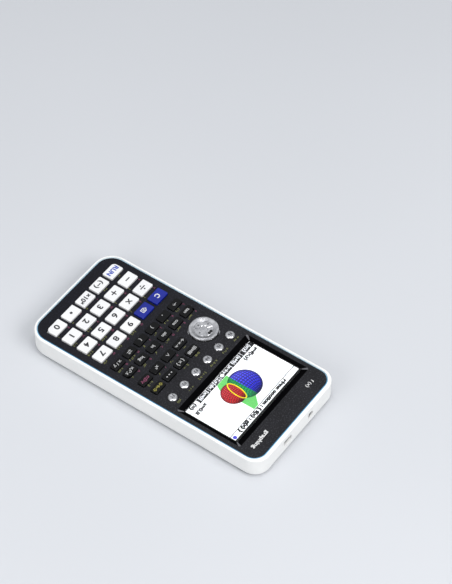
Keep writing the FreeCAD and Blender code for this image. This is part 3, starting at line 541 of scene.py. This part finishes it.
def display_picture():
    """The lit screen: two balls cut by a plane, with a ring where they meet."""
    low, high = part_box("display_module")
    sunk = 0.15 * MM  # depth of the module's picture area
    floor = high.z - sunk
    middle = Vector((-0.4 * MM, 49.45 * MM))
    half_wide, half_tall = 35.7, 19.8
    page_thick, step = 0.03 * MM, 0.01 * MM

    def at(x, y):
        """A spot on the picture, in millimetres from its middle."""
        return (middle.x + x * MM, middle.y + y * MM)

    def layer(number):
        return floor + page_thick + number * step

    def sheet(name, paint):
        return Print(name, paint, "case", "display")

    def lit(name, colour):
        return ink(name, colour, 0.5, GLOW)

    def patch(target, left, right, bottom, top, level):
        """A rectangle on the picture, its sides in millimetres from the middle."""
        (x0, y0), (x1, y1) = at(left, bottom), at(right, top)
        target.box(x0, x1, y0, y1, level, step)

    def corners(left, right, bottom, top):
        return [(left, bottom), (right, bottom), (right, top), (left, top)]

    mask = sheet("screen_mask", ink("screen_black", srgb(6, 6, 7), 0.6))
    inset, mask_deep = 0.2 * MM, 46.6 * MM
    mask_top = high.y - inset
    outer = corners(low.x + inset, high.x - inset, mask_top - mask_deep, mask_top)
    (left, bottom), (right, top) = at(-half_wide, -half_tall), at(half_wide, half_tall)
    mask.band(outer, corners(left, right, bottom, top), high.z)
    mask.finish()

    page = sheet("screen_page", lit("screen_white", srgb(248, 249, 250)))
    page.box(left, right, bottom, top, floor, page_thick)
    page.finish()

    plane = sheet("plane_plot", lit("screen_green", srgb(96, 188, 96)))
    lower = [(-3.7, -15.5), (6.7, -15.5), (9.0, -11.6), (8.4, 3.0)]
    upper = [(8.3, 15.1), (3.6, 15.0), (-1.3, 9.8), (-3.5, 8.0)]
    plane.shape([at(x, y) for x, y in lower + upper], layer(0), step)
    plane.finish()

    blue_centre, blue_radius = (-5.3, -1.75), 11.65
    red_centre, red_radius = (5.6, -3.15), 8.65
    blue = sphere_paint(
        "blue_ball",
        at(*blue_centre),
        blue_radius * MM,
        srgb(0, 0, 52),
        srgb(18, 18, 190),
        srgb(80, 80, 214),
    )
    ball = sheet("blue_ball_plot", blue)
    ball.shape([at(x, y) for x, y in arc(blue_centre, blue_radius, 0, 355, 72)], layer(1), step)
    ball.finish()

    teal = sphere_paint(
        "blue_ball_behind_plane",
        at(*blue_centre),
        blue_radius * MM,
        srgb(0, 74, 44),
        srgb(14, 150, 82),
        srgb(14, 150, 62),
    )
    plane_from_centre = 1.7
    cut = math.degrees(math.acos(plane_from_centre / blue_radius))
    overlap = sheet("overlap_plot", teal)
    segment = arc(blue_centre, blue_radius, -cut, cut, 40)
    overlap.shape([at(x, y) for x, y in segment], layer(2), step)
    overlap.finish()

    ring_centre, ring_wide, ring_tall, lean = (2.6, -2.65), 2.95, 8.0, -6.5
    red = sphere_paint(
        "red_ball",
        at(*red_centre),
        red_radius * MM,
        srgb(52, 0, 2),
        srgb(188, 10, 18),
        srgb(198, 52, 62),
    )
    ball = sheet("red_ball_plot", red)
    ring_side = arc(ring_centre, ring_wide, 92, 268, 24, ring_tall, lean)
    ball_side = arc(red_centre, red_radius, -112, 104, 48)
    ball.shape([at(x, y) for x, y in ring_side + ball_side], layer(3), step)
    ball.finish()

    ring = sheet("ring_plot", lit("screen_yellow", srgb(226, 210, 10)))
    half_line = 0.4
    outer = arc(ring_centre, ring_wide + half_line, 0, 355, 72, ring_tall + half_line, lean)
    inner = arc(ring_centre, ring_wide - half_line, 0, 355, 72, ring_tall - half_line, lean)
    ring.band([at(x, y) for x, y in outer], [at(x, y) for x, y in inner], layer(4), step)
    ring.finish()

    dark = sheet("screen_writing", ink("screen_ink", srgb(20, 20, 24), 0.5))
    for text, spot, tall, weight, wide in (
        ("plane section : { f(x) : g(x) }", (2.6, 17.95), 2.5, 0.28, 1.36),
        ("z=f(x,y)", (-27.6, -12.7), 2.5, 0.2, 1.25),
        ("x=0.8", (27.8, -12.5), 2.6, 0.22, 1.3),
        ("(≡)", (29.6, -17.7), 2.5, 0.22, 1.4),
    ):
        dark.letters(text, *at(*spot), layer(0), tall * MM, weight * MM, wide)
    tabs_end, tabs_bottom, tabs_top, outline = 24.3, -half_tall + 0.2, -15.7, 0.25
    patch(dark, -half_wide, tabs_end, tabs_bottom, tabs_top, layer(0))
    patch(dark, tabs_end, half_wide, tabs_top - outline, tabs_top, layer(0))
    patch(dark, tabs_end, half_wide, tabs_bottom, tabs_bottom + outline, layer(0))
    patch(dark, -half_wide, half_wide, 15.35, 15.85, layer(0))
    dark.finish()

    tabs = sheet("screen_tabs", lit("screen_tab_white", srgb(222, 224, 228)))
    pitch = 12.0
    for number, mark in enumerate(["{x:y}", "(a+b)", "x→y●", "Σ±∫dx", "[x=0]"]):
        spot = at(pitch * (number + 0.5) - half_wide, -17.65)
        tabs.letters(mark, *spot, layer(1), 2.5 * MM, 0.12 * MM, 1.15)
        if number:
            edge = pitch * number - half_wide
            patch(tabs, edge, edge + 0.4, tabs_bottom, tabs_top, layer(1))
    tabs.finish()

    power = sheet("power_mark", lit("screen_blue", srgb(64, 64, 190)))
    mark = arc((33.8, 18.1), 1.45, 22.5, 337.5, 8, 1.5)
    power.shape([at(x, y) for x, y in mark], layer(0), step)
    power.finish()


display_picture()

# ------------------------------------------------------------------ legends

INK_GREY = ink("legend_grey", srgb(44, 44, 48))
INK_BLUE = ink("legend_blue", srgb(54, 78, 176))
INK_WHITE = ink("legend_white", srgb(222, 222, 222))
INK_PALE = ink("legend_pale", srgb(172, 172, 172))
INK_OLIVE = ink("legend_olive", srgb(118, 120, 66))
INK_YELLOW = ink("legend_yellow", srgb(142, 136, 60))
INK_PINK = ink("legend_pink", srgb(124, 60, 88))
INK_SILVER = ink("legend_on_silver", srgb(56, 56, 60))


def key_legend(key, text, paint, tall, weight=0.0, wide=1.0, shift=0.0):
    """A legend printed in the middle of a key, moving with it."""
    low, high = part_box(key)
    middle = (low + high) / 2
    legend = Print(f"legend_{key}", paint, key, record_slots[key])
    legend.letters(text, middle.x, middle.y + shift, high.z, tall, weight, wide)
    legend.finish()


def sign_legend(key, strokes, dots=()):
    """A sign of strokes (length, angle) and dots (across, along, radius), in millimetres."""
    low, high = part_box(key)
    middle = (low + high) / 2
    legend = Print(f"legend_{key}", INK_GREY, key, record_slots[key])
    layer = 0.0
    for long, turn in strokes:
        legend.bar((middle.x, middle.y), long * MM, 0.85 * MM, high.z + layer, turn)
        layer += INK / 2
    for across, along, radius in dots:
        legend.dot((middle.x + across * MM, middle.y + along * MM), radius * MM, high.z)
    legend.finish()


def key_legends():
    for digit in range(10):
        key_legend(f"key_{digit}", str(digit), INK_GREY, 4.2 * MM, 0.18 * MM, 1.2)
    sign_legend("key_point", (), [(0.0, 0.0, 1.0)])
    sign_legend("key_subtract", [(4.0, 0)])
    sign_legend("key_add", [(4.3, 0), (4.3, 90)])
    sign_legend("key_multiply", [(4.8, 45), (4.8, -45)])
    sign_legend("key_divide", [(4.6, 0)], [(0.0, 1.75, 0.62), (0.0, -1.75, 0.62)])
    key_legend("key_power_ten", "×10ˣ", INK_GREY, 3.4 * MM, 0.18 * MM, 1.1)
    key_legend("key_negative", "(−)", INK_GREY, 3.4 * MM, 0.16 * MM, 1.3)
    key_legend("key_execute", "RUN", INK_BLUE, 3.4 * MM, 0.18 * MM, 1.05)
    key_legend("key_delete", "⌫", INK_WHITE, 3.2 * MM, 0.08 * MM)
    key_legend("key_all_clear", "C", INK_WHITE, 3.6 * MM, 0.16 * MM)

    black = {
        "key_options": "• • •",
        "key_variables": "{ x }",
        "key_menu": "⊞≡⊞",
        "key_square": "x²",
        "key_power": "∧",
        "key_exit": "←×→",
        "key_variable_x": "x,θ,t",
        "key_log": "log",
        "key_ln": "ln",
        "key_sin": "sin",
        "key_cos": "cos",
        "key_tan": "tan",
        "key_fraction": "x / y",
        "key_form_swap": "⇄",
        "key_bracket_open": "(",
        "key_bracket_close": ")",
        "key_comma": ",",
        "key_store": "→",
    }
    for key, text in black.items():
        key_legend(key, text, INK_PALE, 2.3 * MM, 0.09 * MM, 1.2)
    key_legend("key_shift", "⇧fn⇧", INK_YELLOW, 2.0 * MM, 0.09 * MM, 1.2)
    key_legend("key_alpha", "αβγ", INK_PINK, 2.1 * MM, 0.08 * MM, 1.5, 0.2 * MM)
    for number in range(1, 7):
        key_legend(f"key_f{number}", f"F{number}", INK_SILVER, 2.2 * MM, 0.1 * MM)


def face_legends():
    """Small second and third legends printed on the face between the keys."""
    olive = Print("face_legends_olive", INK_OLIVE, "case", "dark_face")
    pink = Print("face_legends_pink", INK_PINK, "case", "dark_face")
    pale = Print("face_marks_pale", INK_WHITE, "case", "dark_face")
    small = 1.45 * MM

    def beside(key, text, target, shift, gap=1.45 * MM, wide=1.2):
        """A small legend above a key, shifted sideways from its middle."""
        low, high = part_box(key)
        flange = 0.6 * MM
        across = (low.x + high.x) / 2 + shift * MM
        target.letters(text, across, high.y - flange + gap, FACE, small, 0.03 * MM, wide)

    round_marks = ["y(t)", "+ / −", "[ a : b ]", "± Δ xy", "x ∩ y", "→ xy"]
    for number, text in enumerate(round_marks, start=1):
        beside(f"key_f{number}", text, olive, 0.0, 1.9 * MM, 1.3)
    for key, text in (("key_menu", "⊟ ⊞"), ("key_variables", "Σ : =")):
        beside(key, text, olive, 0.0)
    beside("key_exit", "◂◂◂", olive, 0.0)
    beside("key_alpha", "α - β", olive, 0.0)
    for key, letter, text in (
        ("key_power", "θ", "ˣ√"),
        ("key_square", "r", "√"),
        ("key_variable_x", "A", "∠"),
        ("key_log", "B", "10ˣ"),
        ("key_ln", "C", "eˣ"),
        ("key_sin", "D", "sin⁻¹"),
        ("key_cos", "E", "cos⁻¹"),
        ("key_tan", "F", "tan⁻¹"),
        ("key_fraction", "G", "x y/z"),
        ("key_form_swap", "H", "x ⇄ y"),
        ("key_bracket_open", "I", "∛"),
        ("key_bracket_close", "J", "x⁻¹"),
        ("key_comma", "K", "x , y"),
        ("key_store", "L", "( i )"),
    ):
        beside(key, letter, pink, -4.0)
        beside(key, text, olive, 2.4)
    for key, letter, text in (
        ("key_7", "M", "x̄ σ"),
        ("key_8", "N", "{ x }"),
        ("key_9", "O", "[ x ]"),
        ("key_4", "P", "∑ ∫ ∂"),
        ("key_5", "Q", "± x.x"),
        ("key_6", "R", ""),
        ("key_multiply", "S", "{"),
        ("key_divide", "T", "}"),
        ("key_1", "U", "{ : }"),
        ("key_2", "V", "[ : ]"),
        ("key_3", "W", ""),
        ("key_add", "X", "["),
        ("key_subtract", "Y", "]"),
        ("key_0", "Z", "i"),
        ("key_point", "__", "="),
        ("key_power_ten", "\"", "π"),
    ):
        beside(key, letter, pink, -5.2 if len(letter) == 1 else -4.0)
        if text:
            beside(key, text, olive, 5.2 if len(text) == 1 else 3.8)
    over_display = 82.75 * MM
    pale.letters("graphing", 26.5 * MM, over_display, FACE, 2.9 * MM, 0.12 * MM, 1.2)
    pale.letters("f (x)", -28.8 * MM, over_display, FACE, 2.4 * MM, 0.03 * MM, 1.3)
    beside("key_negative", "= x", olive, 0.0)
    beside("key_execute", "↵", olive, 0.0)
    for target in (olive, pink, pale):
        target.finish()


key_legends()
face_legends()


def disc_marks():
    """Marks on the navigation disc, moving with it; the pair towards the display is the boldest."""
    low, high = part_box("nav_disc")
    middle = (low + high) / 2
    level = high.z - 0.3 * MM
    bold = Print("nav_disc_pair", ink("disc_black", srgb(14, 14, 16)), "nav_disc", "silver_plastic")
    for side in (-1, 1):
        bold.dot((middle.x + side * 0.95 * MM, middle.y + 5.2 * MM), 1.1 * MM, level)
    bold.finish()

    arrows = Print("nav_disc_arrows", INK_SILVER, "nav_disc", "silver_plastic")
    reach, half, long = 4.2 * MM, 0.7 * MM, 1.3 * MM
    for turn in (0, 180, 270):
        along = Vector((math.cos(math.radians(turn)), math.sin(math.radians(turn))))
        across = Vector((-along.y, along.x)) * half
        base = middle.xy + along * reach
        outline = [base + along * long, base + across, base - across]
        arrows.shape([tuple(corner) for corner in outline], level)
    arrows.finish()


disc_marks()

# ------------------------------------------------------------------ camera, light and floor


def make_camera():
    """A long lens looking down across the calculator from beyond its screen end."""
    data = bpy.data.cameras.new("camera")
    data.sensor_width = 36.0
    data.lens = 135.2
    camera = bpy.data.objects.new("camera", data)
    bpy.context.scene.collection.objects.link(camera)
    camera.location = (0.7103, 0.5446, 1.1231 + FACE)
    target = Vector((-0.0604, -0.0066, FACE))
    camera.rotation_euler = (target - camera.location).to_track_quat("-Z", "Y").to_euler()
    bpy.context.scene.camera = camera


def make_light(name, place, size, power):
    """A soft rectangular light that faces the calculator."""
    data = bpy.data.lights.new(name, "AREA")
    data.shape = "RECTANGLE"
    data.size, data.size_y = size
    data.energy = power
    light = bpy.data.objects.new(name, data)
    light.location = place
    light.rotation_euler = (-light.location).to_track_quat("-Z", "Y").to_euler()
    bpy.context.scene.collection.objects.link(light)


def make_stage():
    paint = Paint("pale_floor", 0.6)
    soft = paint.noise(0.5, 2.0)
    paint.colour(paint.ramp(soft, [(0.3, srgb(196, 198, 202)), (0.7, srgb(201, 203, 207))]))
    mesh = bpy.data.meshes.new("floor")
    half = 4.0
    corners = [(-half, -half, 0), (half, -half, 0), (half, half, 0), (-half, half, 0)]
    mesh.from_pydata(corners, [], [(0, 1, 2, 3)])
    mesh.materials.append(paint.material)
    floor = bpy.data.objects.new("floor", mesh)
    bpy.context.scene.collection.objects.link(floor)

    world = bpy.data.worlds.new("studio")
    world.use_nodes = True
    tree = world.node_tree
    tree.nodes["Background"].inputs["Strength"].default_value = 1.0
    ray = tree.nodes.new("ShaderNodeTexCoord").outputs["Generated"]
    height = tree.nodes.new("ShaderNodeSeparateXYZ")
    sky = tree.nodes.new("ShaderNodeValToRGB")
    tree.links.new(ray, height.inputs[0])
    tree.links.new(height.outputs["Z"], sky.inputs["Fac"])
    tree.links.new(sky.outputs["Color"], tree.nodes["Background"].inputs["Color"])
    sky.color_ramp.elements[0].position = 0.35
    sky.color_ramp.elements[0].color = (0.26, 0.27, 0.28, 1.0)
    sky.color_ramp.elements[1].position = 0.95
    sky.color_ramp.elements[1].color = (0.85, 0.87, 0.9, 1.0)
    bpy.context.scene.world = world
    bpy.context.scene.view_settings.view_transform = "Standard"

    make_light("key_light", (0.1, 1.1, 1.1), (0.9, 0.7), 13.0)
    make_light("fill_light", (1.1, -0.1, 0.8), (0.7, 0.7), 5.0)
    make_light("top_light", (0.15, 0.2, 1.7), (0.8, 0.5), 7.0)


make_camera()
make_stage()
